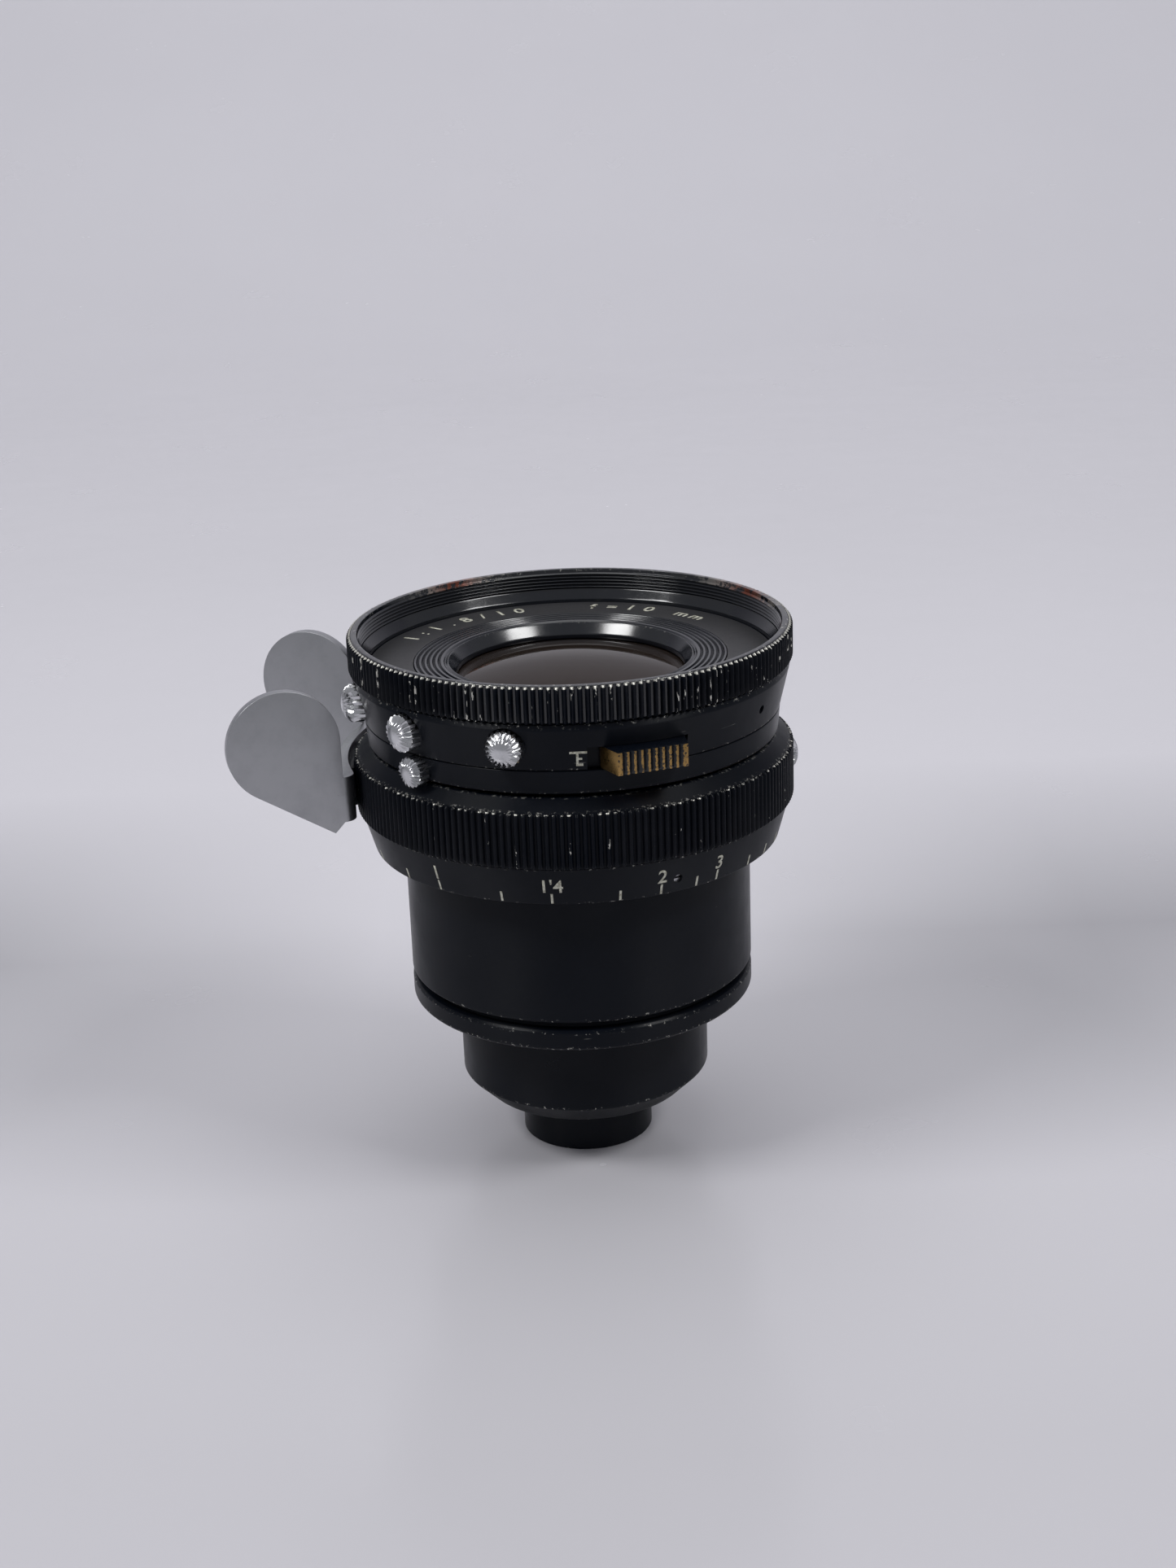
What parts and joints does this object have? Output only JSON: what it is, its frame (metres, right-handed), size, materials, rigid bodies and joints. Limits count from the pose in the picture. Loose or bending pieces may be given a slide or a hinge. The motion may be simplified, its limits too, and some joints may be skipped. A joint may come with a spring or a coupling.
{
  "type": "cine camera lens",
  "caption": "Wide-angle cine camera lens with a plain clip-in barrel, knurled focus ring with sheet-metal ears, studded aperture ring with a brass slide, and a wide front rim.",
  "frame": {"origin": "centre of the rear tube's end face, which the lens stands on", "axes": "+Z along the optical axis towards the scene, -Y towards the front where the ribbed slide is, -X towards the focus ears"},
  "size_m": [0.0656, 0.0529, 0.0643],
  "materials": {
    "black_enamel": "semi-gloss black, worn on edges",
    "satin_black": "satin black",
    "bare_aluminium": "satin, lightly tarnished",
    "chromed_brass": "polished",
    "brass": "worn",
    "steel": "satin",
    "blackened_steel": "matt blackened",
    "coated_glass": "single-coated, polished"
  },
  "bodies": {
    "barrel": {"mount_barrel": "black_enamel", "rear_flange": "black_enamel", "rear_housing": "black_enamel", "rear_tube": "black_enamel", "focus_retainer": "steel", "guide_key_screw": "steel", "focus_stop_pin": "steel"},
    "focus_ring": {"focus_ring": "black_enamel", "distance_scale_ring": "black_enamel", "scale_set_screws": "steel", "helicoid_nut": "brass", "helicoid_screws": "steel", "focus_ears": "bare_aluminium", "ear_saddle": "black_enamel", "ear_screws": "steel", "focus_stud": "chromed_brass"},
    "optical_unit": {"optical_barrel": "black_enamel", "index_ring": "black_enamel", "index_stud": "chromed_brass", "front_ring": "black_enamel", "name_ring": "satin_black", "front_cell": "black_enamel", "front_retaining_ring": "black_enamel", "front_element": "coated_glass", "second_element": "coated_glass", "second_retaining_ring": "black_enamel", "iris_housing": "black_enamel", "iris_cover": "black_enamel", "rear_cell": "black_enamel", "third_element": "coated_glass", "third_retaining_ring": "black_enamel", "group_spacer": "black_enamel", "doublet_crown": "coated_glass", "doublet_flint": "coated_glass", "rear_spacer": "black_enamel", "sixth_element": "coated_glass", "rear_element": "coated_glass", "rear_retaining_ring": "black_enamel"},
    "aperture_ring": {"aperture_ring": "black_enamel", "aperture_studs": "chromed_brass", "aperture_drive_screw": "steel", "iris_drive_sleeve": "black_enamel", "iris_cam_ring": "steel", "click_ball": "steel", "click_spring": "steel"},
    "click_slide": {"click_slide": "brass"},
    "blade_1": {"iris_blade_1": "blackened_steel"},
    "blade_2": {"iris_blade_2": "blackened_steel"},
    "blade_3": {"iris_blade_3": "blackened_steel"},
    "blade_4": {"iris_blade_4": "blackened_steel"},
    "blade_5": {"iris_blade_5": "blackened_steel"},
    "blade_6": {"iris_blade_6": "blackened_steel"}
  },
  "joints": [
    {"name": "focus_turn", "type": "hinge", "parent": "barrel", "child": "focus_ring", "pos_m": [0, 0, 0.045], "axis": [0, 0, 1], "range_deg": [0, 162]},
    {"name": "focus_travel", "type": "slide", "parent": "barrel", "child": "optical_unit", "axis": [0, 0, 1], "range_m": [0, 0.0006]},
    {"name": "aperture_turn", "type": "hinge", "parent": "optical_unit", "child": "aperture_ring", "pos_m": [0, 0, 0.057], "axis": [0, 0, 1], "range_deg": [-30, 30]},
    {"name": "click_slide_travel", "type": "hinge", "parent": "aperture_ring", "child": "click_slide", "pos_m": [0, 0, 0.0558], "axis": [0, 0, 1], "range_deg": [-3, 0]},
    {"name": "blade_1_pivot", "type": "hinge", "parent": "optical_unit", "child": "blade_1", "pos_m": [0.0123, 0, 0.0435], "axis": [0, 0, 1], "range_deg": [-18.5, 18.5]},
    {"name": "blade_2_pivot", "type": "hinge", "parent": "optical_unit", "child": "blade_2", "pos_m": [0.00615, 0.01065, 0.0435], "axis": [0, 0, 1], "range_deg": [-18.5, 18.5]},
    {"name": "blade_3_pivot", "type": "hinge", "parent": "optical_unit", "child": "blade_3", "pos_m": [-0.00615, 0.01065, 0.0435], "axis": [0, 0, 1], "range_deg": [-18.5, 18.5]},
    {"name": "blade_4_pivot", "type": "hinge", "parent": "optical_unit", "child": "blade_4", "pos_m": [-0.0123, 0, 0.0435], "axis": [0, 0, 1], "range_deg": [-18.5, 18.5]},
    {"name": "blade_5_pivot", "type": "hinge", "parent": "optical_unit", "child": "blade_5", "pos_m": [-0.00615, -0.01065, 0.0435], "axis": [0, 0, 1], "range_deg": [-18.5, 18.5]},
    {"name": "blade_6_pivot", "type": "hinge", "parent": "optical_unit", "child": "blade_6", "pos_m": [0.00615, -0.01065, 0.0435], "axis": [0, 0, 1], "range_deg": [-18.5, 18.5]}
  ],
  "couplings": [
    {"joint": "focus_travel", "follows": "focus_turn", "m_per_rad": 0.0002112},
    {"joint": "blade_1_pivot", "follows": "aperture_turn", "ratio": 0.61},
    {"joint": "blade_2_pivot", "follows": "aperture_turn", "ratio": 0.61},
    {"joint": "blade_3_pivot", "follows": "aperture_turn", "ratio": 0.61},
    {"joint": "blade_4_pivot", "follows": "aperture_turn", "ratio": 0.61},
    {"joint": "blade_5_pivot", "follows": "aperture_turn", "ratio": 0.61},
    {"joint": "blade_6_pivot", "follows": "aperture_turn", "ratio": 0.61}
  ]
}
